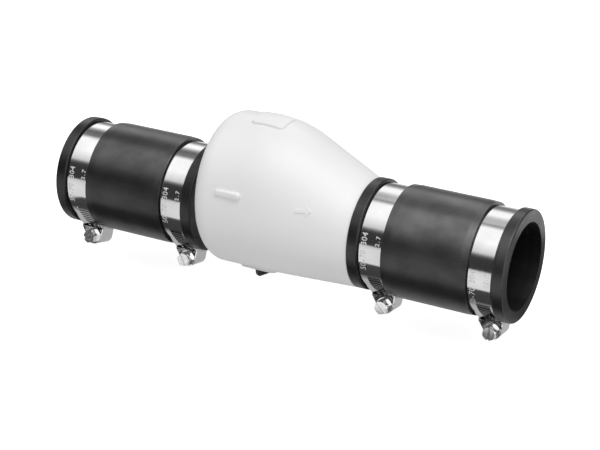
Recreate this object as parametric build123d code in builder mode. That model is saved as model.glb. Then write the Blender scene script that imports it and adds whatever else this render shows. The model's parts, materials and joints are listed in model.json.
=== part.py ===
from build123d import *
import math
import os

# Non-return valve for a drain or pump line, with a flexible coupling at each end.
# All sizes are millimetres. The origin is the centre of the inlet mouth, on the pipe axis.
# +X is the way the water flows, +Z is up, and the hinge of the flap lies along Y.

# Pipe and spigots
pipe_diameter = 48.3
socket_clearance = 0.05
spigot_wall = 3.65
spigot_end_gap = 0.5

# Flexible couplings
coupling_length = 90.0
rim_width = 6.4
rim_radius = 31.0
rim_rounding = 0.9
clamp_seat_width = 14.2
clamp_seat_radius = 28.5
sleeve_radius = 31.2
sleeve_edge_radius = 30.9
sleeve_edge_width = 4.0
stop_width = 3.0
stop_height = 1.6

# Valve body, an eccentric reducer with elliptical sections
coupling_to_body_gap = 5.8
body_length = 91.7
wall = 3.2
end_wall = 3.5
shoulder_wall = 3.5
big_end_half_width = 41.5
big_end_half_height = 43.3
big_end_rise = 10.4
big_end_rounding = 10.0
crown_distance = 42.0
crown_blend = 13.0
crown_half_width = 38.8
crown_half_height = 44.6
crown_rise = 11.3
shoulder_radius = 30.3
shoulder_drop = 0.8

# Joint between the inlet cap and the body
seam_distance = 10.6
tongue_length = 4.0
tongue_root = 3.5
tongue_thickness = 2.2
tongue_clearance = 0.05

# Raised details on the body
crown_pad_distance = 31.5
crown_pad_length = 20.0
crown_pad_width = 17.0
crown_pad_height = 1.3
crown_pad_corner = 3.0
crown_pad_rounding = 1.0
side_rib_distance = 23.8
side_rib_length = 15.8
side_rib_height = 3.8
side_rib_middle_z = 23.6
side_rib_depth = 1.3
side_rib_rounding = 1.2

# Seat and flap
seat_distance = 8.25
seat_wall = 3.5
seat_gap = 0.15
seal_thickness = 2.2
flap_radius = 24.5
flap_thickness = 3.0
flap_rounding = 0.6
retainer_radius = 14.0
retainer_thickness = 1.2
retainer_chamfer = 0.4
hinge_distance = 14.2
hinge_height = 33.0
hinge_pin_radius = 2.0
hinge_pin_clearance = 0.06
hinge_pin_fit = 0.02
knuckle_radius = 4.5
knuckle_width = 14.0
knuckle_side_gap = 0.3
flap_arm_thickness = 4.0
flap_rib_thickness = 2.5
flap_rib_low_height = 2.0
flap_rib_foot_margin = 4.9
flap_open_angle = 75.0
heel_thickness = 4.0
heel_gap = 0.3
ear_thickness = 4.0
ear_radius = 5.2
ear_root_half_height = 6.5
pin_head_radius = 3.4
pin_head_thickness = 1.4
pin_clip_radius = 3.8
pin_clip_thickness = 0.8
pin_end = 0.8
fastener_clearance = 0.05

# Screw and nut that hold the rubber to the flap
flap_screw_radius = 2.5
flap_screw_head_radius = 4.6
flap_screw_head_height = 2.4
flap_screw_head_rounding = 1.2
flap_screw_socket_radius = 1.5
flap_screw_socket_depth = 1.6
flap_nut_flats = 8.0
flap_nut_height = 4.0
flap_screw_end = 1.0

# Drain plug in the bottom of the body
drain_distance = 25.4
drain_boss_length = 23.4
drain_boss_width = 20.0
drain_boss_corner = 3.5
drain_boss_rounding = 0.6
drain_boss_bottom = 34.5
drain_inner_boss_radius = 9.5
drain_inner_boss_height = 2.3
drain_stem_radius = 5.4
drain_clearance = 0.08
drain_flange_radius = 8.4
drain_flange_thickness = 1.6
drain_seal_thickness = 1.2
drain_stem_length = 4.4
drain_blade_length = 13.4
drain_blade_thickness = 3.0
drain_blade_height = 6.4
drain_blade_taper = 0.9
drain_blade_corner = 1.6
drain_blade_angle = 65.7
drain_blade_chamfer = 0.4
drain_recess_margin = 1.5
drain_recess_depth = 0.5
drain_pocket_radius = 3.0

# Worm-drive clamps
band_width = 12.7
band_thickness = 0.7
band_seat_gap = 0.05
band_tail_end = 19.0
band_tail_bend = 4.6
band_bend_radius = 3.0
band_tail_lift = 0.05
groove_pitch = 2.4
groove_width = 1.3
groove_depth = 0.3
groove_length = 8.0
groove_count = 19
saddle_thickness = 3.0
saddle_length = 13.0
saddle_lip = 1.0
cover_length = 12.0
cover_thickness = 0.6
cover_side_gap = 0.05
cover_leg_depth = 1.4
worm_radius = 4.1
worm_clearance = 0.08
worm_tail_gap = 0.15
worm_tip = 1.2
worm_tip_chamfer = 0.8
worm_offset = 1.7
worm_flange_radius = 4.6
worm_flange_thickness = 0.9
worm_flange_gap = 0.1
worm_head_flats = 7.0
worm_head_height = 5.0
worm_head_chamfer = 0.5
worm_slot_width = 1.2
worm_slot_depth = 1.8

# For each clamp, from the inlet end: the angle of its housing round the pipe, measured from +Y
# towards +Z, and how far its screw is turned.
clamp_angles = (-107.0, -103.0, -99.0, -97.0)
slot_angles = (21.0, 120.0, 137.0, 86.0)

# Places worked out from the sizes above
pipe_radius = pipe_diameter / 2
coupling_bore_radius = pipe_radius + socket_clearance
bore_radius = pipe_radius - spigot_wall
clamp_inset = rim_width + clamp_seat_width / 2
big_end_x = coupling_length + coupling_to_body_gap
shoulder_x = big_end_x + body_length
seam_x = big_end_x + seam_distance
crown_x = big_end_x + crown_distance
cavity_start_x = big_end_x + end_wall
cavity_end_x = shoulder_x - shoulder_wall
seat_x = big_end_x + seat_distance
hinge_x = big_end_x + hinge_distance
hinge_z = hinge_height
drain_x = big_end_x + drain_distance
half_stop = coupling_length / 2 + stop_width / 2 + spigot_end_gap
spigot_inside_coupling = coupling_length - half_stop

os.makedirs("parts", exist_ok=True)


# The body's outer form

def body_section(x):
    """Half width, half height and centre height of the body's ellipse at x."""
    big_end = (big_end_half_width, big_end_half_height, big_end_rise)
    crown = (crown_half_width, crown_half_height, crown_rise)
    shoulder = (shoulder_radius, shoulder_radius, -shoulder_drop)
    before = (x - big_end_x) / crown_distance
    after = (x - crown_x) / (body_length - crown_distance)
    rising = [a + (b - a) * before for a, b in zip(big_end, crown)]
    falling = [a + (b - a) * after for a, b in zip(crown, shoulder)]
    # Between the two straight runs a parabola rounds the crown over.
    share = (x - crown_x + crown_blend) / (2 * crown_blend)
    share = min(max(share, 0.0), 1.0)
    if share == 0.0:
        return rising
    if share == 1.0:
        return falling
    start_x = crown_x - crown_blend
    end_x = crown_x + crown_blend
    start = [a + (b - a) * (start_x - big_end_x) / crown_distance for a, b in zip(big_end, crown)]
    end = [a + (b - a) * (end_x - crown_x) / (body_length - crown_distance) for a, b in zip(crown, shoulder)]
    return [
        (1 - share) ** 2 * a + 2 * share * (1 - share) * b + share**2 * c
        for a, b, c in zip(start, crown, end)
    ]


def body_form(inset, start_x, end_x):
    """Solid between two places along X, with its skin set in from the body's outside."""
    blend_start = crown_x - crown_blend
    blend_end = crown_x + crown_blend
    # Straight runs need their two ends, and the parabola at the crown its middle as well.
    runs = [(start_x, end_x)]
    if start_x < blend_start and end_x > blend_end:
        runs = [(start_x, blend_start), (blend_start, crown_x, blend_end), (blend_end, end_x)]
    with BuildPart() as form:
        for places in runs:
            sections = []
            for x in places:
                half_width, half_height, rise = body_section(x)
                with BuildSketch(Plane.YZ.offset(x)) as ellipse:
                    with Locations((0, rise)):
                        Ellipse(half_width - inset, half_height - inset)
                sections.append(ellipse.sketch)
            loft(sections)
    return form.part


def tube(start_x, end_x, outer_radius, inner_radius):
    """Straight tube round the pipe axis."""
    with BuildPart() as straight_tube:
        with BuildSketch(Plane.YZ.offset(start_x)):
            Circle(outer_radius)
            Circle(inner_radius, mode=Mode.SUBTRACT)
        extrude(amount=end_x - start_x)
    return straight_tube.part


with BuildPart() as rounded_form:
    add(body_form(0, big_end_x, shoulder_x))
    fillet(rounded_form.faces().sort_by(Axis.X)[0].edges(), big_end_rounding)

with BuildPart() as cavity_form:
    add(body_form(wall, cavity_start_x, cavity_end_x))
    fillet(cavity_form.faces().sort_by(Axis.X)[0].edges(), big_end_rounding - wall)

with BuildPart() as crown_pad:
    add(body_form(-crown_pad_height, big_end_x, shoulder_x))
    with BuildSketch(Plane.XY):
        with Locations((big_end_x + crown_pad_distance, 0)):
            RectangleRounded(crown_pad_length, crown_pad_width, crown_pad_corner)
    extrude(amount=crown_half_height + crown_rise + crown_pad_height, mode=Mode.INTERSECT)
    pad_walls = crown_pad.faces().filter_by(lambda face: abs(face.normal_at().Z) < 0.001)
    pad_rim = pad_walls.edges().filter_by(lambda edge: edge.center().Z > crown_half_height)
    fillet(pad_rim, crown_pad_rounding)

with BuildPart() as drain_boss:
    with BuildSketch(Plane.XY.offset(-drain_boss_bottom)):
        with Locations((drain_x, 0)):
            RectangleRounded(drain_boss_length, drain_boss_width, drain_boss_corner)
    extrude(amount=drain_boss_bottom / 2)
    fillet(drain_boss.faces().sort_by(Axis.Z)[0].edges(), drain_boss_rounding)

# The rib's face is flat, so it stands out further where the flank falls away.
with BuildPart() as side_rib:
    with BuildSketch(Plane.XZ):
        with Locations((big_end_x + side_rib_distance, side_rib_middle_z)):
            SlotOverall(side_rib_length, side_rib_height)
    extrude(amount=crown_half_width + side_rib_depth)
    fillet(side_rib.faces().sort_by(Axis.Y)[0].edges(), side_rib_rounding)

# Main body with the outlet spigot

with BuildPart() as valve_body:
    add(rounded_form.part)
    add(crown_pad.part)
    add(side_rib.part)
    add(drain_boss.part)
    add(cavity_form.part, mode=Mode.SUBTRACT)
    split(bisect_by=Plane.YZ.offset(seam_x), keep=Keep.TOP)
    floor_z = body_section(drain_x)[2] - body_section(drain_x)[1] + wall
    with BuildSketch(Plane.XY.offset(-drain_boss_bottom + drain_inner_boss_height)):
        with Locations((drain_x, 0)):
            Circle(drain_inner_boss_radius)
    extrude(amount=floor_z + drain_boss_bottom)
    add(tube(cavity_end_x, shoulder_x + spigot_inside_coupling, pipe_radius, bore_radius))
    with BuildSketch(Plane.YZ.offset(cavity_end_x)):
        Circle(bore_radius)
    extrude(amount=shoulder_wall, mode=Mode.SUBTRACT)
    # Stepped hole for the drain plug
    with BuildSketch(Plane.XY.offset(-drain_boss_bottom)):
        with Locations((drain_x, 0)):
            Circle(drain_stem_radius + drain_clearance)
    extrude(amount=drain_boss_bottom / 2, mode=Mode.SUBTRACT)
    with BuildSketch(Plane.XY.offset(-drain_boss_bottom)):
        with Locations((drain_x, 0)):
            Circle(drain_flange_radius + drain_clearance)
    extrude(amount=drain_flange_thickness + drain_seal_thickness, mode=Mode.SUBTRACT)
valve_body.part.label = "valve_body"
export_step(valve_body.part, "parts/valve_body.step")

# Inlet cap: rounded big end, inlet spigot, seat and hinge ears, with a tongue that enters the body

tongue_inset = wall + tongue_clearance
ear_inner_y = knuckle_width / 2 + knuckle_side_gap
ear_outer_y = ear_inner_y + ear_thickness

with BuildPart() as tongue:
    add(body_form(tongue_inset, seam_x - tongue_root, seam_x + tongue_length))
    add(body_form(wall / 2, seam_x - tongue_root, seam_x))
    add(
        body_form(tongue_inset + tongue_thickness, seam_x - tongue_root, seam_x + tongue_length),
        mode=Mode.SUBTRACT,
    )

with BuildPart() as hinge_ears:
    with BuildSketch(Plane.XZ):
        with Locations((cavity_start_x, hinge_z)):
            Rectangle(end_wall, 2 * ear_root_half_height)
        with Locations((hinge_x, hinge_z)):
            Circle(ear_radius)
        make_hull()
    extrude(amount=ear_outer_y, both=True)
    with BuildSketch(Plane.XZ):
        with Locations((cavity_start_x + 2 * hinge_distance, hinge_z)):
            Rectangle(4 * hinge_distance, 4 * ear_root_half_height)
    extrude(amount=ear_inner_y, both=True, mode=Mode.SUBTRACT)
    with BuildSketch(Plane.XZ):
        with Locations((hinge_x, hinge_z)):
            Circle(hinge_pin_radius + hinge_pin_fit)
    extrude(amount=ear_outer_y, both=True, mode=Mode.SUBTRACT)

with BuildPart() as inlet_cap:
    add(rounded_form.part)
    add(cavity_form.part, mode=Mode.SUBTRACT)
    split(bisect_by=Plane.YZ.offset(seam_x), keep=Keep.BOTTOM)
    add(tongue.part)
    add(hinge_ears.part)
    spigot_start_x = coupling_length - spigot_inside_coupling
    add(tube(spigot_start_x, cavity_start_x, pipe_radius, bore_radius))
    add(tube(big_end_x, seat_x, bore_radius + seat_wall, bore_radius))
    with BuildSketch(Plane.YZ.offset(big_end_x)):
        Circle(bore_radius)
    extrude(amount=end_wall, mode=Mode.SUBTRACT)
inlet_cap.part.label = "inlet_cap"
export_step(inlet_cap.part, "parts/inlet_cap.step")

# Flap: rigid disc with arm, knuckle, ribs and a heel that stops it when it is open

seal_x = seat_x + seat_gap
flap_x = seal_x + seal_thickness
flap_back_x = flap_x + flap_thickness
knuckle_back_x = hinge_x + knuckle_radius
open_sine = math.sin(math.radians(flap_open_angle))
open_cosine = math.cos(math.radians(flap_open_angle))
heel_height = (hinge_x - cavity_start_x - heel_gap - heel_thickness / 2 * open_cosine) / open_sine

with BuildPart() as flap_disc:
    with BuildSketch(Plane.YZ.offset(flap_x)):
        Circle(flap_radius)
    extrude(amount=flap_thickness)
    fillet(flap_disc.faces().sort_by(Axis.X)[-1].edges(), flap_rounding)
    # Arm from the disc up to the knuckle
    with BuildSketch(Plane.YZ.offset(flap_x)):
        with Locations((0, hinge_z / 2)):
            Rectangle(knuckle_width, hinge_z)
    extrude(amount=flap_arm_thickness)
    # Ribs on the back
    rib_foot_z = flap_rib_foot_margin - flap_radius
    with BuildSketch(Plane.XZ):
        with BuildLine():
            Polyline(
                (flap_x, rib_foot_z),
                (flap_back_x + flap_rib_low_height, rib_foot_z),
                (knuckle_back_x, hinge_z - knuckle_radius),
                (knuckle_back_x, hinge_z),
                (flap_x, hinge_z),
                close=True,
            )
        make_face()
    extrude(amount=knuckle_width / 2, both=True)
    with BuildSketch(Plane.XZ):
        with Locations((flap_x + flap_arm_thickness + hinge_distance, hinge_z / 2 - flap_radius)):
            Rectangle(2 * hinge_distance, hinge_z + 2 * flap_radius)
    extrude(amount=knuckle_width / 2 - flap_rib_thickness, both=True, mode=Mode.SUBTRACT)
    # Heel and knuckle
    with BuildSketch(Plane.XZ):
        with Locations((hinge_x, hinge_z + heel_height / 2)):
            Rectangle(heel_thickness, heel_height)
        with Locations((hinge_x, hinge_z)):
            Circle(knuckle_radius)
    extrude(amount=knuckle_width / 2, both=True)
    with BuildSketch(Plane.XZ):
        with Locations((hinge_x, hinge_z)):
            Circle(hinge_pin_radius + hinge_pin_clearance)
    extrude(amount=knuckle_width / 2, both=True, mode=Mode.SUBTRACT)
    with BuildSketch(Plane.YZ.offset(flap_x)):
        Circle(flap_screw_radius + fastener_clearance)
    extrude(amount=flap_arm_thickness, mode=Mode.SUBTRACT)
flap_disc.part.label = "flap_disc"
export_step(flap_disc.part, "parts/flap_disc.step")

with BuildPart() as flap_seal:
    with BuildSketch(Plane.YZ.offset(seal_x)):
        Circle(flap_radius)
        Circle(flap_screw_radius + fastener_clearance, mode=Mode.SUBTRACT)
    extrude(amount=seal_thickness)
    fillet(flap_seal.faces().sort_by(Axis.X)[0].edges().sort_by(SortBy.RADIUS)[-1], flap_rounding)
flap_seal.part.label = "flap_seal"
export_step(flap_seal.part, "parts/flap_seal.step")

with BuildPart() as seal_retainer:
    with BuildSketch(Plane.YZ.offset(seal_x - retainer_thickness)):
        Circle(retainer_radius)
        Circle(flap_screw_radius + fastener_clearance, mode=Mode.SUBTRACT)
    extrude(amount=retainer_thickness)
    chamfer(
        seal_retainer.faces().sort_by(Axis.X)[0].edges().sort_by(SortBy.RADIUS)[-1],
        retainer_chamfer,
    )
seal_retainer.part.label = "seal_retainer"
export_step(seal_retainer.part, "parts/seal_retainer.step")

nut_x = flap_x + flap_arm_thickness
screw_head_x = seal_x - retainer_thickness

with BuildPart() as flap_screw:
    with BuildSketch(Plane.YZ.offset(screw_head_x - flap_screw_head_height)):
        Circle(flap_screw_head_radius)
    extrude(amount=flap_screw_head_height)
    fillet(flap_screw.faces().sort_by(Axis.X)[0].edges(), flap_screw_head_rounding)
    with BuildSketch(Plane.YZ.offset(screw_head_x)):
        Circle(flap_screw_radius)
    extrude(amount=nut_x + flap_nut_height + flap_screw_end - screw_head_x)
    with BuildSketch(Plane.YZ.offset(screw_head_x - flap_screw_head_height)):
        RegularPolygon(flap_screw_socket_radius, 6)
    extrude(amount=flap_screw_socket_depth, mode=Mode.SUBTRACT)
flap_screw.part.label = "flap_screw"
export_step(flap_screw.part, "parts/flap_screw.step")

with BuildPart() as flap_nut:
    with BuildSketch(Plane.YZ.offset(nut_x)):
        RegularPolygon(flap_nut_flats / 2, 6, major_radius=False, rotation=30)
        Circle(flap_screw_radius + fastener_clearance, mode=Mode.SUBTRACT)
    extrude(amount=flap_nut_height)
flap_nut.part.label = "flap_nut"
export_step(flap_nut.part, "parts/flap_nut.step")

# Hinge pin with a head on the front ear and a clip behind the other

with BuildPart() as hinge_pin:
    with BuildSketch(Plane.XZ.offset(ear_outer_y)):
        with Locations((hinge_x, hinge_z)):
            Circle(pin_head_radius)
    extrude(amount=pin_head_thickness)
    with BuildSketch(Plane.XZ.offset(ear_outer_y)):
        with Locations((hinge_x, hinge_z)):
            Circle(hinge_pin_radius)
    extrude(amount=-(2 * ear_outer_y + pin_clip_thickness + pin_end))
    chamfer(hinge_pin.faces().sort_by(Axis.Y)[-1].edges(), pin_end / 2)
hinge_pin.part.label = "hinge_pin"
export_step(hinge_pin.part, "parts/hinge_pin.step")

with BuildPart() as pin_clip:
    with BuildSketch(Plane.XZ.offset(-ear_outer_y)):
        with Locations((hinge_x, hinge_z)):
            Circle(pin_clip_radius)
            Circle(hinge_pin_radius + hinge_pin_fit, mode=Mode.SUBTRACT)
    extrude(amount=-pin_clip_thickness)
pin_clip.part.label = "pin_clip"
export_step(pin_clip.part, "parts/pin_clip.step")


# Flexible couplings

def coupling_outline(start_x):
    """Points of the sleeve's section, in along the outside and back along the bore."""
    seat_end = rim_width + clamp_seat_width
    half = [
        (0, coupling_bore_radius),
        (0, rim_radius),
        (rim_width, rim_radius),
        (rim_width, clamp_seat_radius),
        (seat_end, clamp_seat_radius),
        (seat_end, sleeve_edge_radius),
        (seat_end + sleeve_edge_width, sleeve_radius),
    ]
    stop_start = (coupling_length - stop_width) / 2
    bore_half = [
        (stop_start, coupling_bore_radius - stop_height),
        (stop_start, coupling_bore_radius),
    ]
    outside = half + [(coupling_length - x, radius) for x, radius in reversed(half)]
    inside = [(coupling_length - x, radius) for x, radius in reversed(bore_half)] + bore_half
    return [(start_x + x, radius) for x, radius in outside + inside]


def make_coupling(start_x):
    with BuildPart() as coupling:
        with BuildSketch(Plane.XZ):
            with BuildLine():
                Polyline(*coupling_outline(start_x), close=True)
            make_face()
        revolve(axis=Axis.X)
        rims = coupling.edges().filter_by(GeomType.CIRCLE)
        fillet(rims.filter_by(lambda edge: abs(edge.radius - rim_radius) < 0.001), rim_rounding)
    return coupling.part


inlet_coupling = make_coupling(0)
inlet_coupling.label = "inlet_coupling"
export_step(inlet_coupling, "parts/inlet_coupling.step")

outlet_coupling = make_coupling(shoulder_x)
outlet_coupling.label = "outlet_coupling"
export_step(outlet_coupling, "parts/outlet_coupling.step")

# Worm-drive clamps

band_inner_radius = clamp_seat_radius + band_seat_gap
band_outer_radius = band_inner_radius + band_thickness
saddle_top = band_outer_radius + saddle_thickness
tail_bottom = saddle_top + band_tail_lift
tail_middle = tail_bottom + band_thickness / 2
screw_height = tail_bottom + band_thickness + worm_tail_gap + worm_radius
cover_inner_half_width = band_width / 2 + cover_side_gap
cover_bottom = saddle_top - cover_leg_depth

# The tail's middle line leaves the ring on a tangent, climbs a straight ramp and bends level.
band_middle_radius = band_outer_radius - band_thickness / 2
tail_bend = (band_tail_bend, tail_middle)
bend_angle = math.atan2(tail_middle, band_tail_bend)
leave_angle = bend_angle - math.acos(band_middle_radius / math.hypot(*tail_bend))
tail_leave = (band_middle_radius * math.cos(leave_angle), band_middle_radius * math.sin(leave_angle))
ramp_slope = (tail_bend[1] - tail_leave[1]) / (tail_leave[0] - tail_bend[0])
ramp_angle = math.atan(ramp_slope)
saddle_slope_start = band_tail_bend - (band_thickness / 2 + band_tail_lift) * math.tan(ramp_angle / 2)
ramp_length = math.hypot(tail_bend[0] - tail_leave[0], tail_bend[1] - tail_leave[1])


def clamp_plane(x, angle):
    """Plane across the pipe: local x runs along the screw to its head, local y out from the pipe."""
    turn = math.radians(angle)
    return Plane(origin=(x, 0, 0), x_dir=(0, math.sin(turn), -math.cos(turn)), z_dir=(1, 0, 0))


def screw_plane(across, along):
    """Plane square to the screw, at a distance along it, with local y out from the pipe."""
    return Plane(
        origin=across.origin + across.x_dir * along,
        x_dir=across.z_dir * -1,
        z_dir=across.x_dir,
    )


def groove_place(distance):
    """Middle of a groove on the band's outside, at a distance from the bend: on the tail, ramp or ring."""
    if distance < 0:
        return Location((band_tail_bend + distance, tail_middle + band_thickness / 2, 0))
    if distance < ramp_length:
        across_run = distance * math.cos(ramp_angle) + band_thickness / 2 * math.sin(ramp_angle)
        outward = band_thickness / 2 * math.cos(ramp_angle) - distance * math.sin(ramp_angle)
        place = (band_tail_bend + across_run, tail_middle + outward, 0)
        return Location(place, (0, 0, -math.degrees(ramp_angle)))
    angle = leave_angle - (distance - ramp_length) / band_outer_radius
    place = (band_outer_radius * math.cos(angle), band_outer_radius * math.sin(angle), 0)
    return Location(place, (0, 0, math.degrees(angle) - 90))


def make_clamp_band(across):
    """Closed ring whose outer end leaves the seat, runs straight through the housing and sticks out.

    The grooves that the worm drives are pressed into the outer end.
    """
    first_groove = groove_pitch - band_tail_end - band_tail_bend
    groove_places = [groove_place(first_groove + count * groove_pitch) for count in range(groove_count)]
    with BuildPart() as clamp_band:
        with BuildSketch(across):
            Circle(band_outer_radius)
            Circle(band_inner_radius, mode=Mode.SUBTRACT)
            with BuildLine():
                FilletPolyline(tail_leave, tail_bend, (-band_tail_end, tail_middle), radius=band_bend_radius)
            trace(line_width=band_thickness)
        extrude(amount=band_width / 2, both=True)
        with BuildSketch(across.offset(worm_offset - groove_length / 2)):
            with Locations(*groove_places):
                Rectangle(groove_width, 2 * groove_depth)
        extrude(amount=groove_length, mode=Mode.SUBTRACT)
    return clamp_band.part


def make_clamp_saddle(across):
    """Pressed base of the housing: hollowed to the band below, flat on top for the band's tail."""
    front = saddle_length / 2 + saddle_lip
    front_top = saddle_top - (front - saddle_slope_start) * ramp_slope
    bottom = saddle_top - 2 * saddle_thickness
    with BuildPart() as clamp_saddle:
        with BuildSketch(across):
            with BuildLine():
                # The top follows the underside of the tail, round its bend and down its ramp.
                FilletPolyline(
                    (-saddle_length / 2, saddle_top),
                    (saddle_slope_start, saddle_top),
                    (front, front_top),
                    radius=band_bend_radius - band_thickness / 2 - band_tail_lift,
                )
                Polyline(
                    (front, front_top),
                    (front, bottom),
                    (-saddle_length / 2, bottom),
                    (-saddle_length / 2, saddle_top),
                )
            make_face()
            Circle(band_outer_radius + band_seat_gap, mode=Mode.SUBTRACT)
        extrude(amount=band_width / 2, both=True)
    return clamp_saddle.part


def make_clamp_cover(across):
    """Cover rolled round the screw, with legs down each side of the tail and the saddle.

    The screw runs over the grooves, so it sits off the band's middle, and local x is along -X here.
    """
    leg_height = tail_bottom + band_thickness + worm_tail_gap - cover_bottom
    outer_half_width = cover_inner_half_width + cover_thickness
    with BuildPart() as clamp_cover:
        with BuildSketch(screw_plane(across, -cover_length / 2)):
            with Locations((-worm_offset, screw_height)):
                Circle(worm_radius + worm_clearance + cover_thickness)
            with Locations((0, cover_bottom + leg_height / 2)):
                Rectangle(2 * outer_half_width, leg_height)
            make_hull()
        extrude(amount=cover_length)
        with BuildSketch(screw_plane(across, -cover_length / 2)):
            with Locations((-worm_offset, screw_height)):
                Circle(worm_radius + worm_clearance)
            with Locations((0, cover_bottom + leg_height / 2)):
                Rectangle(2 * cover_inner_half_width, leg_height)
            make_hull()
        extrude(amount=cover_length, mode=Mode.SUBTRACT)
    return clamp_cover.part


def make_worm_screw(across, slot_angle):
    """Screw with a slotted hexagon head. Its shank is the plain cylinder round the thread."""
    shank_start = -cover_length / 2 - worm_tip
    flange_start = cover_length / 2 + worm_flange_gap
    head_start = flange_start + worm_flange_thickness
    head_end = head_start + worm_head_height
    corner_radius = worm_head_flats / math.sqrt(3)
    with BuildPart() as worm_head:
        with BuildSketch(screw_plane(across, head_start)):
            with Locations((-worm_offset, screw_height)):
                Circle(corner_radius)
        extrude(amount=worm_head_height)
        rim = worm_head.faces().sort_by(lambda face: face.center().dot(across.x_dir))[-1]
        chamfer(rim.edges(), worm_head_chamfer)
        with BuildSketch(screw_plane(across, head_start)):
            with Locations((-worm_offset, screw_height)):
                RegularPolygon(worm_head_flats / 2, 6, major_radius=False, rotation=slot_angle)
        extrude(amount=worm_head_height, mode=Mode.INTERSECT)
    with BuildPart() as worm_screw:
        with BuildSketch(screw_plane(across, shank_start)):
            with Locations((-worm_offset, screw_height)):
                Circle(worm_radius)
        extrude(amount=flange_start - shank_start)
        tip = worm_screw.faces().sort_by(lambda face: face.center().dot(across.x_dir))[0]
        chamfer(tip.edges(), worm_tip_chamfer)
        with BuildSketch(screw_plane(across, flange_start)):
            with Locations((-worm_offset, screw_height)):
                Circle(worm_flange_radius)
        extrude(amount=worm_flange_thickness)
        add(worm_head.part)
        with BuildSketch(screw_plane(across, head_end - worm_slot_depth)):
            with Locations((-worm_offset, screw_height)):
                Rectangle(2 * worm_head_flats, worm_slot_width, rotation=slot_angle)
        extrude(amount=worm_slot_depth, mode=Mode.SUBTRACT)
    return worm_screw.part


clamp_places = (
    clamp_inset,
    coupling_length - clamp_inset,
    shoulder_x + clamp_inset,
    shoulder_x + coupling_length - clamp_inset,
)
for number, (clamp_x, clamp_angle, slot_angle) in enumerate(zip(clamp_places, clamp_angles, slot_angles), 1):
    across = clamp_plane(clamp_x, clamp_angle)

    clamp_band = make_clamp_band(across)
    clamp_band.label = f"clamp_band_{number}"
    export_step(clamp_band, f"parts/clamp_band_{number}.step")

    clamp_saddle = make_clamp_saddle(across)
    clamp_saddle.label = f"clamp_saddle_{number}"
    export_step(clamp_saddle, f"parts/clamp_saddle_{number}.step")

    clamp_cover = make_clamp_cover(across)
    clamp_cover.label = f"clamp_cover_{number}"
    export_step(clamp_cover, f"parts/clamp_cover_{number}.step")

    worm_screw = make_worm_screw(across, slot_angle)
    worm_screw.label = f"worm_screw_{number}"
    export_step(worm_screw, f"parts/worm_screw_{number}.step")

# Drain plug with a thumb blade, and its flat seal

drain_seal_top = -drain_boss_bottom + drain_flange_thickness + drain_seal_thickness

with BuildPart() as drain_seal:
    with BuildSketch(Plane.XY.offset(drain_seal_top - drain_seal_thickness)):
        with Locations((drain_x, 0)):
            Circle(drain_flange_radius)
            Circle(drain_stem_radius + drain_clearance, mode=Mode.SUBTRACT)
    extrude(amount=drain_seal_thickness)
drain_seal.part.label = "drain_seal"
export_step(drain_seal.part, "parts/drain_seal.step")

blade_turn = math.radians(drain_blade_angle)
blade_plane = Plane(
    origin=(drain_x, 0, -drain_boss_bottom),
    x_dir=(math.cos(blade_turn), math.sin(blade_turn), 0),
    z_dir=(math.sin(blade_turn), -math.cos(blade_turn), 0),
)
blade_end = drain_blade_length / 2
blade_tip = blade_end - drain_blade_taper

# The blade is narrower at its tip, with a shallow finger recess on each side.
with BuildPart() as drain_blade:
    with BuildSketch(blade_plane) as blade_side:
        with BuildLine():
            Polyline(
                (-blade_end, 0),
                (blade_end, 0),
                (blade_tip, -drain_blade_height),
                (-blade_tip, -drain_blade_height),
                close=True,
            )
        make_face()
        fillet(blade_side.vertices().group_by(Axis.Y)[0], drain_blade_corner)
    extrude(amount=drain_blade_thickness / 2, both=True)
    side_edges = drain_blade.faces().sort_by(SortBy.AREA)[-2:].edges()
    chamfer(side_edges.filter_by(lambda edge: edge.center().Z < -drain_boss_bottom - 0.001), drain_blade_chamfer)
    for side in (1, -1):
        with BuildSketch(blade_plane.offset(side * drain_blade_thickness / 2)):
            with Locations((0, -drain_blade_height / 2)):
                SlotOverall(
                    2 * (blade_tip - drain_recess_margin),
                    drain_blade_height - 2 * drain_recess_margin,
                )
        extrude(amount=-side * drain_recess_depth, mode=Mode.SUBTRACT)

with BuildPart() as drain_plug:
    with BuildSketch(Plane.XY.offset(-drain_boss_bottom)):
        with Locations((drain_x, 0)):
            Circle(drain_flange_radius)
    extrude(amount=drain_flange_thickness)
    with BuildSketch(Plane.XY.offset(-drain_boss_bottom)):
        with Locations((drain_x, 0)):
            Circle(drain_stem_radius)
    extrude(amount=drain_flange_thickness + drain_seal_thickness + drain_stem_length)
    add(drain_blade.part)
    # The stem is hollow from the top, as a moulded plug is.
    with BuildSketch(Plane.XY.offset(-drain_boss_bottom + drain_flange_thickness)):
        with Locations((drain_x, 0)):
            Circle(drain_pocket_radius)
    extrude(amount=drain_boss_bottom / 2, mode=Mode.SUBTRACT)
drain_plug.part.label = "drain_plug"
export_step(drain_plug.part, "parts/drain_plug.step")
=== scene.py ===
import json
import math

import bpy
from mathutils import Matrix, Vector


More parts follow.
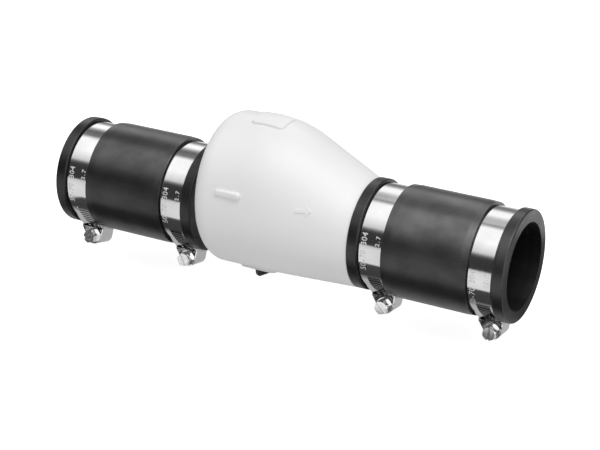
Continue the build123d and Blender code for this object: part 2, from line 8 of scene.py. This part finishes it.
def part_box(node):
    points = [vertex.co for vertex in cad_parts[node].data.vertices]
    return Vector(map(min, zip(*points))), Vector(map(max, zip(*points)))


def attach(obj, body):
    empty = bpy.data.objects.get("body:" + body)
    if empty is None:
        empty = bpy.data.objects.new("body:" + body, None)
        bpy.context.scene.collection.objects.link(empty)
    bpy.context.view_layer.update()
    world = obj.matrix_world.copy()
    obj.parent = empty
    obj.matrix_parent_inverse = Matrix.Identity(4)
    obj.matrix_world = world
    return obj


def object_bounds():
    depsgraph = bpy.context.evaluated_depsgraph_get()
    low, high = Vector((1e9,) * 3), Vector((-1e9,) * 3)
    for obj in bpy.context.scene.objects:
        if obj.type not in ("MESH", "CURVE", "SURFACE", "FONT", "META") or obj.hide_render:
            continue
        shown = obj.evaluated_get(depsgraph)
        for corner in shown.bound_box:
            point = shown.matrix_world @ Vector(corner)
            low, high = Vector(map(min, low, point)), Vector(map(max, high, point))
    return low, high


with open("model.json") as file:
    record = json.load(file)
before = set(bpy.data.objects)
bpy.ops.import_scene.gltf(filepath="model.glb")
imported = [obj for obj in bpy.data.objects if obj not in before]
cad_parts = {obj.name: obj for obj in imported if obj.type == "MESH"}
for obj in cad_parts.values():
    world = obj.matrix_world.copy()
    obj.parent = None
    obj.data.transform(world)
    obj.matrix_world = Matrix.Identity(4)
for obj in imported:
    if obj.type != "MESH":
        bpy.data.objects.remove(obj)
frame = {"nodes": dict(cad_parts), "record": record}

# Non-return valve with rubber couplings and worm-drive clamps, on a pale floor.
# Lengths are metres, in the row frame: +X the way the water flows, +Z up.
# Angles round the pipe start at the camera's side, -Y, and go over the top.

mm = 0.001
cad_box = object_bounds()
nodes = frame["nodes"]
valve_middle = (cad_box[0] + cad_box[1]) / 2

# From the valve's middle to the middle of each coupling
sleeve_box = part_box("inlet_coupling")
sleeve_distance = valve_middle.x - (sleeve_box[0].x + sleeve_box[1].x) / 2

numbers = (1, 2, 3, 4)
bands = [nodes[f"clamp_band_{number}"] for number in numbers]
band_boxes = [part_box(band.name) for band in bands]
band_middles = [(low.x + high.x) / 2 for low, high in band_boxes]
band_radius = band_boxes[0][1].z


# Helpers for materials

def grey(level):
    return (level, level, level)


def add_node(tree, kind, inputs=None, **settings):
    """Adds a node. inputs gives, by socket name or number, a value or the socket that feeds it."""
    node = tree.nodes.new(kind)
    for name, value in settings.items():
        setattr(node, name, value)
    for name, value in (inputs or {}).items():
        if isinstance(value, bpy.types.NodeSocket):
            tree.links.new(value, node.inputs[name])
        else:
            node.inputs[name].default_value = value
    return node


def new_material(name, **values):
    """Material with a Principled shader. values sets its sockets, with _ for spaces."""
    material = bpy.data.materials.new(name)
    material.use_nodes = True
    shader = material.node_tree.nodes["Principled BSDF"]
    for socket, value in values.items():
        shader.inputs[socket.replace("_", " ")].default_value = value
    return material, material.node_tree, shader


def feed(tree, shader, **sources):
    """Links each source to the shader's socket of that name, with _ for spaces."""
    for socket, source in sources.items():
        tree.links.new(source, shader.inputs[socket.replace("_", " ")])


def object_place(tree):
    """Object coordinates, as three outputs named X, Y and Z."""
    place = add_node(tree, "ShaderNodeTexCoord")
    return add_node(tree, "ShaderNodeSeparateXYZ", {0: place.outputs["Object"]}).outputs


def object_noise(tree, scale, stretch=(1, 1, 1), detail=3.0):
    """Noise on object coordinates. scale is per metre, and stretch squeezes it along each axis."""
    place = add_node(tree, "ShaderNodeTexCoord")
    mapping = add_node(
        tree,
        "ShaderNodeMapping",
        {"Vector": place.outputs["Object"], "Scale": stretch},
    )
    noise = add_node(
        tree,
        "ShaderNodeTexNoise",
        {"Vector": mapping.outputs["Vector"], "Scale": scale, "Detail": detail},
    )
    return noise.outputs["Fac"]


def spread(tree, source, low, high, start=0.3, end=0.7):
    """Maps start..end to low..high and holds it there. A noise usually lies between 0.3 and 0.7."""
    node = add_node(
        tree,
        "ShaderNodeMapRange",
        {"Value": source, "From Min": start, "From Max": end, "To Min": low, "To Max": high},
    )
    return node.outputs["Result"]


def rise(tree, source, start, end):
    """0 up to start, 1 from end on."""
    return spread(tree, source, 0, 1, start, end)


def fall(tree, source, start, end):
    """1 up to start, 0 from end on."""
    return spread(tree, source, 1, 0, start, end)


def calculate(tree, operation, first, second=0.0):
    node = add_node(tree, "ShaderNodeMath", {0: first, 1: second}, operation=operation)
    return node.outputs[0]


def product(tree, first, *others):
    """first times all the others."""
    result = first
    for other in others:
        result = calculate(tree, "MULTIPLY", result, other)
    return result


def distance(tree, source, middle):
    """How far source lies from middle, on either side."""
    return calculate(tree, "ABSOLUTE", calculate(tree, "SUBTRACT", source, middle))


def angle_round_pipe(tree, place):
    """Angle of a place or direction, from its outputs Y and Z, in radians."""
    forward = calculate(tree, "MULTIPLY", place["Y"], -1)
    return calculate(tree, "ARCTAN2", place["Z"], forward)


def blend_colours(tree, factor, first, second):
    """Mixes two colours, each a socket or its red, green and blue.

    Sockets 6 and 7 of a Mix node are its colours, and output 2 is the result.
    """
    inputs = {0: factor}
    for socket, colour in ((6, first), (7, second)):
        inputs[socket] = colour if isinstance(colour, bpy.types.NodeSocket) else (*colour, 1)
    return add_node(tree, "ShaderNodeMix", inputs, data_type="RGBA").outputs[2]


def mottled(tree, noise, dark, light):
    """A colour that wanders between two tones with a noise."""
    return blend_colours(tree, spread(tree, noise, 0, 1), dark, light)


def bump(tree, height, depth, strength):
    inputs = {"Height": height, "Distance": depth, "Strength": strength}
    return add_node(tree, "ShaderNodeBump", inputs).outputs["Normal"]


# Gloss of the couplings. The rims start this far from a coupling's middle, and their edge is this wide.
rim_start = 37.5 * mm
rim_edge = 1.0 * mm
rim_gloss = 0.45
# Painted shade: the lower half reflects less up to the first height, and the full gloss of the upper
# half starts at the second.
lower_half_painted_shade_gloss = 0.58
lower_end = 6.5 * mm
upper_start = 11.0 * mm
# Painted highlight: the gloss grows from the valve's middle to the outlet's end.
outlet_painted_highlight_glosses = (0.95, 1.45)

# The painted dark reflection on the pressed thread of each band: its middle line, from the band's
# middle, its half width and its edges, where it starts and ends round the pipe in degrees, and how
# strong it is
dark_reflection_offset = 1.4 * mm
dark_reflection_half_width = 4.0 * mm
dark_reflection_edge = 0.3 * mm
dark_reflection_edge_angle = math.radians(1.5)
dark_reflection_starts = (-26, -24, -25, -27)
dark_reflection_end = -57
dark_reflection_levels = (0.25, 0.9, 0.9, 0.9)
dark_reflection_tone = 0.03


# Materials

def moulded_plastic(name, dark, light, ior, rough, clouds, skin):
    """Satin moulded plastic with faint flow clouds and a fine skin.

    rough is the span of the roughness, clouds the scale and stretch of the clouds,
    and skin the scale, depth and strength of the skin.
    """
    material, tree, shader = new_material(name, IOR=ior)
    cloud_scale, cloud_stretch = clouds
    skin_scale, skin_depth, skin_strength = skin
    cloud_noise = object_noise(tree, cloud_scale, cloud_stretch, detail=2)
    skin_noise = object_noise(tree, skin_scale, detail=2)
    feed(
        tree,
        shader,
        Base_Color=mottled(tree, cloud_noise, dark, light),
        Roughness=spread(tree, skin_noise, *rough),
        Normal=bump(tree, skin_noise, skin_depth, skin_strength),
    )
    return material


def sleeve_gloss(tree, gloss):
    """The rims are duller, the lower half is dimmed as painted shade, and the outlet coupling is
    brightened as a painted highlight.
    """
    place = object_place(tree)
    from_sleeve = distance(tree, distance(tree, place["X"], valve_middle.x), sleeve_distance)
    rims = spread(tree, from_sleeve, 1, rim_gloss, rim_start, rim_start + rim_edge)
    # Painted shade on the lower half
    painted_shade_heights = spread(tree, place["Z"], lower_half_painted_shade_gloss, 1, lower_end, upper_start)
    duller = calculate(tree, "MINIMUM", rims, painted_shade_heights)
    # Painted highlight towards the outlet's end
    sides = spread(tree, place["X"], *outlet_painted_highlight_glosses, valve_middle.x, cad_box[1].x)
    return product(tree, gloss, duller, sides)


def black_rubber(name, dark, light, rough, bloom, sleeve=False):
    """Moulded rubber: streaks left along the sleeve by wiping, a fine grain and a dusty bloom."""
    material, tree, shader = new_material(name, IOR=1.76, Sheen_Weight=bloom, Sheen_Roughness=0.4)
    streaks = object_noise(tree, 40, stretch=(0.25, 1.6, 1.6), detail=4)
    smudges = object_noise(tree, 75, stretch=(0.8, 1, 1), detail=5)
    grain = object_noise(tree, 2200)
    gloss = spread(tree, smudges, 0.36, 0.66)
    if sleeve:
        gloss = sleeve_gloss(tree, gloss)
    feed(
        tree,
        shader,
        Base_Color=mottled(tree, streaks, dark, light),
        Roughness=spread(tree, streaks, rough, rough + 0.12),
        Specular_IOR_Level=gloss,
        Normal=bump(tree, grain, 0.03 * mm, 0.5),
    )
    return material


def painted_thread_reflection(tree, number):
    """How much painted dark reflection lies at each place of a band."""
    place = object_place(tree)
    aside = distance(tree, place["X"], band_middles[number - 1] + dark_reflection_offset)
    angle = angle_round_pipe(tree, place)
    start = math.radians(dark_reflection_starts[number - 1])
    end = math.radians(dark_reflection_end)
    across = fall(tree, aside, dark_reflection_half_width - dark_reflection_edge, dark_reflection_half_width)
    from_start = fall(tree, angle, start - dark_reflection_edge_angle, start)
    to_end = rise(tree, angle, end, end + dark_reflection_edge_angle)
    return product(tree, across, from_start, to_end, dark_reflection_levels[number - 1])


def rolled_steel(name, band_number=None):
    """Rolled stainless strip: bright, with fine lines round the pipe.

    In a band, the pressed thread of the outer end, before the housing, gets a painted dark reflection.
    """
    material, tree, shader = new_material(name, Metallic=1.0)
    lines = object_noise(tree, 60, stretch=(40, 1, 1), detail=4)
    stains = object_noise(tree, 90)
    steel = mottled(tree, stains, grey(0.66), grey(0.75))
    if band_number is not None:
        # Painted dark reflection on the pressed thread
        steel = blend_colours(tree, painted_thread_reflection(tree, band_number), steel, grey(dark_reflection_tone))
    feed(
        tree,
        shader,
        Base_Color=steel,
        Roughness=spread(tree, lines, 0.06, 0.14),
        Normal=bump(tree, lines, 0.006 * mm, 0.5),
    )
    return material


def etched_steel():
    """Marks etched in the strip: rough, so they read light on dark and dark on light."""
    material, tree, shader = new_material("etched_steel", Metallic=1.0)
    grain = object_noise(tree, 1500, detail=2)
    feed(
        tree,
        shader,
        Base_Color=mottled(tree, grain, grey(0.76), grey(0.88)),
        Roughness=spread(tree, grain, 0.5, 0.7),
    )
    return material


def plain_steel(name, dark, light, rough, relief):
    """Turned or pressed stainless steel, with faint stains and fine scratches."""
    material, tree, shader = new_material(name, Metallic=1.0)
    stains = object_noise(tree, 160)
    scratches = object_noise(tree, 900, stretch=(1, 0.2, 1))
    feed(
        tree,
        shader,
        Base_Color=mottled(tree, stains, dark, light),
        Roughness=spread(tree, scratches, rough, rough + 0.1),
        Normal=bump(tree, scratches, 0.01 * mm, relief),
    )
    return material


finishes = {
    "body_plastic": moulded_plastic(
        "white_moulded_plastic",
        dark=grey(0.84),
        light=grey(0.88),
        ior=1.48,
        rough=(0.36, 0.46),
        clouds=(28, (0.6, 1, 1)),
        skin=(1400, 0.03 * mm, 0.35),
    ),
    "flap_plastic": moulded_plastic(
        "grey_moulded_plastic",
        dark=(0.42, 0.43, 0.44),
        light=(0.48, 0.49, 0.50),
        ior=1.48,
        rough=(0.38, 0.5),
        clouds=(60, (1, 1, 1)),
        skin=(1600, 0.03 * mm, 0.4),
    ),
    "plug_plastic": moulded_plastic(
        "black_moulded_plastic",
        dark=(0.012, 0.012, 0.013),
        light=(0.02, 0.02, 0.021),
        ior=1.5,
        rough=(0.34, 0.46),
        clouds=(200, (1, 1, 1)),
        skin=(2400, 0.02 * mm, 0.4),
    ),
    "coupling_rubber": black_rubber(
        "black_coupling_rubber",
        dark=grey(0.007),
        light=grey(0.012),
        rough=0.26,
        bloom=0.05,
        sleeve=True,
    ),
    "seal_rubber": black_rubber(
        "black_seal_rubber",
        dark=grey(0.014),
        light=grey(0.022),
        rough=0.55,
        bloom=0.02,
    ),
    "clamp_steel": rolled_steel("bright_stainless_strip"),
    "screw_steel": plain_steel(
        "bright_screw_steel",
        dark=grey(0.86),
        light=grey(0.92),
        rough=0.12,
        relief=0.1,
    ),
    "bright_steel": plain_steel(
        "plain_stainless",
        dark=grey(0.66),
        light=grey(0.80),
        rough=0.28,
        relief=0.5,
    ),
}


def dress(piece, finish):
    piece.data.materials.clear()
    piece.data.materials.append(finish)


for subpart in frame["record"]["subparts"]:
    dress(nodes[subpart["node"]], finishes[subpart["material_slot"]])
for number, band in zip(numbers, bands):
    dress(band, rolled_steel(f"bright_stainless_strip_{number}", number))

# Size marks etched on the bands: plain numbers that read upwards, round the pipe.
# Each line: its text, letter size, pitch, place along the pipe and the angle of its first letter.
mark_lines = (
    ("50-70 304", 4.5 * mm, 2.45 * mm, -3.7 * mm, -14),
    ("12.7", 3.4 * mm, 1.95 * mm, 4.1 * mm, 12),
)
mark_relief = 0.05 * mm
mark_boldness = 0.06 * mm
mark_curve_steps = 3
merge_distance = 0.001 * mm
# How far the marks of each band are turned towards the top, in degrees
mark_turns = (0, 0, 0, -14)


def mark_letter(letter, size, x, angle):
    """One letter, flat against the band, with its top towards the inlet."""
    bpy.ops.object.select_all(action="DESELECT")
    bpy.ops.object.text_add()
    text = bpy.context.object
    text.data.body = letter
    text.data.size = size
    text.data.extrude = mark_relief
    text.data.offset = mark_boldness
    text.data.resolution_u = mark_curve_steps
    text.data.align_x = "CENTER"
    text.data.align_y = "CENTER"
    bpy.ops.object.convert(target="MESH")
    piece = bpy.context.object
    out = Vector((0, -math.cos(angle), math.sin(angle)))
    along = Vector((0, math.sin(angle), math.cos(angle)))
    axes = Matrix((along, Vector((-1, 0, 0)), out)).transposed()
    piece.matrix_world = Matrix.Translation(Vector((x, 0, 0)) + band_radius * out) @ axes.to_4x4()
    return piece


def first_band_marks():
    """All letters of the first band, joined to one piece."""
    letters = []
    for line, size, pitch, offset, first_angle in mark_lines:
        for place, letter in enumerate(line):
            if letter != " ":
                angle = math.radians(first_angle) + place * pitch / band_radius
                letters.append(mark_letter(letter, size, band_middles[0] + offset, angle))
    bpy.ops.object.select_all(action="DESELECT")
    for letter in letters:
        letter.select_set(True)
    marks = letters[0]
    bpy.context.view_layer.objects.active = marks
    bpy.ops.object.join()
    bpy.ops.object.transform_apply(location=True, rotation=True, scale=True)
    bpy.ops.object.mode_set(mode="EDIT")
    bpy.ops.mesh.select_all(action="SELECT")
    bpy.ops.mesh.remove_doubles(threshold=merge_distance)
    bpy.ops.mesh.normals_make_consistent(inside=False)
    bpy.ops.object.mode_set(mode="OBJECT")
    dress(marks, etched_steel())
    return marks


def band_marks():
    """Marks of the first band, and a copy turned and moved for each other band."""
    first = first_band_marks()
    marks = [first]
    for turn, middle in zip(mark_turns[1:], band_middles[1:]):
        copy = first.copy()
        copy.data = first.data.copy()
        bpy.context.collection.objects.link(copy)
        shift = Matrix.Translation(Vector((middle - band_middles[0], 0, 0)))
        copy.data.transform(shift @ Matrix.Rotation(math.radians(-turn), 4, "X"))
        marks.append(copy)
    for number, piece in zip(numbers, marks):
        piece.name = f"band_marks_{number}"
        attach(piece, "valve")


band_marks()

# Arrow moulded on the flank, pointing the way the water flows
arrow_middle = Vector((161.0, -32.24, 20.0)) * mm
arrow_flow = Vector((1, 0.29, 0)).normalized()
arrow_out = Vector((0.29, -1, 0.38)).normalized()
arrow_thickness = 1.0 * mm
arrow_shaft_length = 5.6 * mm
arrow_shaft_height = 2.1 * mm
arrow_head_length = 2.8 * mm
arrow_head_height = 5.6 * mm
arrow_shoulder = 0.3 * mm
arrow_tip_height = 0.5 * mm
arrow_rounding = 0.15 * mm
arrow_rounding_steps = 2


def select_end(piece):
    """Selects only the face that lies furthest along local X, in edit mode."""
    bpy.ops.object.mode_set(mode="OBJECT")
    for part in (*piece.data.vertices, *piece.data.edges, *piece.data.polygons):
        part.select = False
    max(piece.data.polygons, key=lambda face: face.center.x).select = True
    bpy.ops.object.mode_set(mode="EDIT")
    bpy.ops.mesh.select_mode(type="FACE")


def grow_end(piece, length, height_ratio):
    """Extrudes the end face along local X and changes its height."""
    select_end(piece)
    bpy.ops.mesh.extrude_region_move(TRANSFORM_OT_translate={"value": (length, 0, 0)})
    bpy.ops.transform.resize(value=(1, 1, height_ratio))


def flow_arrow():
    bpy.ops.object.select_all(action="DESELECT")
    bpy.ops.mesh.primitive_cube_add(size=1)
    arrow = bpy.context.object
    arrow.name = "flow_arrow"
    bpy.ops.object.mode_set(mode="EDIT")
    bpy.ops.transform.resize(value=(arrow_shaft_length, arrow_thickness, arrow_shaft_height))
    # The head grows out of the shaft's end: a short shoulder, then forward to the tip.
    grow_end(arrow, arrow_shoulder, arrow_head_height / arrow_shaft_height)
    grow_end(arrow, arrow_head_length, arrow_tip_height / arrow_head_height)
    bpy.ops.mesh.select_all(action="SELECT")
    bpy.ops.mesh.bevel(offset=arrow_rounding, segments=arrow_rounding_steps, affect="EDGES")
    bpy.ops.object.mode_set(mode="OBJECT")
    # Local X along the flow, local -Y out from the flank
    arrow_axes = Matrix((arrow_flow, -arrow_out, arrow_flow.cross(-arrow_out))).transposed()
    arrow.matrix_world = Matrix.Translation(arrow_middle) @ arrow_axes.to_4x4()
    bpy.ops.object.transform_apply(location=True, rotation=True, scale=True)
    dress(arrow, finishes["body_plastic"])
    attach(arrow, "valve")


flow_arrow()

# Floor, below the lowest point of the valve by as much as the drain plug comes down
plug_travel = 8 * mm
floor_height = cad_box[0].z - plug_travel
floor_size = 6.0
floor_tone = 0.8
seen_glow = 0.78
mirrored_glow = 0.18

# Metal and rubber mirror the floor as dark in a rectangle round the valve, and as lighter in a strip
# right below it. The rectangle: its ends along the pipe, and its widths to the camera's side and beyond.
shaded_length = (-0.03, 0.36)
shaded_width = 0.082
far_shaded_width = 0.145
shaded_edge = 0.006
shaded_tone = 0.05
under_width = 0.036
under_edge = 0.014
under_glow = 0.50


def pale_floor():
    """Pale matt floor. The camera sees it lifted to white, with the valve's shadow kept."""
    material, tree, shader = new_material("pale_floor", Roughness=0.9, Emission_Color=(1, 1, 1, 1))
    path = add_node(tree, "ShaderNodeLightPath")
    camera_ray = path.outputs["Is Camera Ray"]
    glossy_ray = path.outputs["Is Glossy Ray"]
    place = object_place(tree)
    middle = sum(shaded_length) / 2
    half_length = shaded_length[1] - middle
    close = rise(tree, place["Y"], -shaded_width, shaded_edge - shaded_width)
    far = fall(tree, place["Y"], far_shaded_width - shaded_edge, far_shaded_width)
    along = distance(tree, place["X"], middle)
    beside = fall(tree, along, half_length - shaded_edge, half_length)
    shaded = product(tree, close, far, beside, glossy_ray)
    lit = calculate(tree, "SUBTRACT", glossy_ray, shaded)
    under = fall(tree, distance(tree, place["Y"], 0), under_width - under_edge, under_width)
    seen = product(tree, camera_ray, seen_glow)
    mirrored = product(tree, lit, mirrored_glow)
    below = product(tree, under, shaded, under_glow)
    glow = calculate(tree, "ADD", calculate(tree, "ADD", seen, mirrored), below)
    feed(
        tree,
        shader,
        Base_Color=blend_colours(tree, shaded, grey(floor_tone), grey(shaded_tone)),
        Emission_Strength=glow,
    )
    return material


bpy.ops.object.select_all(action="DESELECT")
bpy.ops.mesh.primitive_plane_add(size=floor_size, location=(0, 0, floor_height))
floor = bpy.context.object
floor.name = "floor"
floor.data.materials.append(pale_floor())

# World: white for the camera, and a studio of softboxes and dark gaps for what is bright and shiny.
# Each stop is an angle round the pipe, in degrees, and the level there.
studio_stops = (
    (-180, 0.25),
    (-20, 0.30),
    (-10, 0.035),
    (30, 0.04),
    (35, 0.15),
    (40, 0.66),
    (64, 1.08),
    (96, 1.06),
    (105, 0.20),
    (121, 0.13),
    (129, 0.35),
    (139, 1.08),
    (150, 1.10),
    (163, 0.28),
    (172, 0.18),
    (180, 0.25),
)
studio_level = 1.25
# The softboxes stand askew: radians of turn for each unit along the pipe, and where there is none
studio_twist = 0.72
studio_twist_middle = -0.43
# What matt surfaces get from all sides
world_level = 0.54

# On the outlet's side one more softbox fills the dark gap above: its edges round the pipe in degrees,
# where it starts along the pipe, from the middle of the twist, and its level.
fill_start = (104, 110)
fill_end = (132, 140)
fill_aside = (-0.03, 0.04)
fill_level = 0.36


def studio_ramp(tree, angle):
    """The level of the studio at an angle round the pipe."""
    turn = rise(tree, angle, -math.pi, math.pi)
    ramp = add_node(tree, "ShaderNodeValToRGB", {"Fac": turn})
    stops = ramp.color_ramp.elements
    while len(stops) > 1:
        stops.remove(stops[-1])
    for index, (degrees, level) in enumerate(studio_stops):
        share = degrees / 360 + 0.5
        stop = stops[0] if index == 0 else stops.new(share)
        stop.position = share
        stop.color = (*grey(level), 1)
    return ramp.outputs["Color"]


def outlet_softbox(tree, angle, aside):
    """The level that the softbox on the outlet's side adds."""
    after_start = rise(tree, angle, *[math.radians(edge) for edge in fill_start])
    before_end = fall(tree, angle, *[math.radians(edge) for edge in fill_end])
    beside = spread(tree, aside, 0, fill_level, *fill_aside)
    return product(tree, after_start, before_end, beside)


def studio_world():
    world = bpy.data.worlds.new("studio")
    world.use_nodes = True
    tree = world.node_tree
    background = tree.nodes["Background"]
    coordinates = add_node(tree, "ShaderNodeTexCoord")
    split = add_node(tree, "ShaderNodeSeparateXYZ", {0: coordinates.outputs["Generated"]})
    direction = split.outputs
    aside = calculate(tree, "SUBTRACT", direction["X"], studio_twist_middle)
    twist = product(tree, aside, studio_twist)
    angle = calculate(tree, "ADD", angle_round_pipe(tree, direction), twist)
    boxes = calculate(tree, "ADD", studio_ramp(tree, angle), outlet_softbox(tree, angle, aside))
    path = add_node(tree, "ShaderNodeLightPath")
    camera_ray = path.outputs["Is Camera Ray"]
    glossy_ray = path.outputs["Is Glossy Ray"]
    shiny = product(tree, boxes, studio_level, glossy_ray)
    matt = product(tree, calculate(tree, "SUBTRACT", 1.0, glossy_ray), world_level)
    light = calculate(tree, "ADD", shiny, matt)
    unseen = product(tree, light, calculate(tree, "SUBTRACT", 1.0, camera_ray))
    background.inputs["Color"].default_value = (1, 1, 1, 1)
    tree.links.new(calculate(tree, "ADD", unseen, camera_ray), background.inputs["Strength"])
    bpy.context.scene.world = world


studio_world()

# Soft lamp above, a little towards the outlet and the camera
lamp_place = Vector((0.50, -0.20, 1.1))
lamp_size = 0.9
lamp_power = 7.6

bpy.ops.object.light_add(type="AREA", location=lamp_place)
lamp = bpy.context.object
lamp.name = "softbox"
lamp.data.size = lamp_size
lamp.data.energy = lamp_power
lamp.rotation_euler = (valve_middle - lamp_place).to_track_quat("-Z", "Y").to_euler()

# Camera at the photograph's angle
camera_azimuth = math.radians(28.21)
camera_elevation = math.radians(25.16)
camera_distance = 1.0112
camera_target = Vector((0.1436, 0, -0.0054))
camera_lens = 108.55
camera_sensor_width = 36
camera_out = Vector(
    (
        math.sin(camera_azimuth) * math.cos(camera_elevation),
        -math.cos(camera_azimuth) * math.cos(camera_elevation),
        math.sin(camera_elevation),
    )
)
bpy.ops.object.camera_add(location=camera_target + camera_distance * camera_out)
camera = bpy.context.object
camera.name = "camera"
camera.rotation_euler = (math.pi / 2 - camera_elevation, 0, camera_azimuth)
camera.data.lens = camera_lens
camera.data.sensor_width = camera_sensor_width
bpy.context.scene.camera = camera
bpy.context.scene.view_settings.view_transform = "Standard"
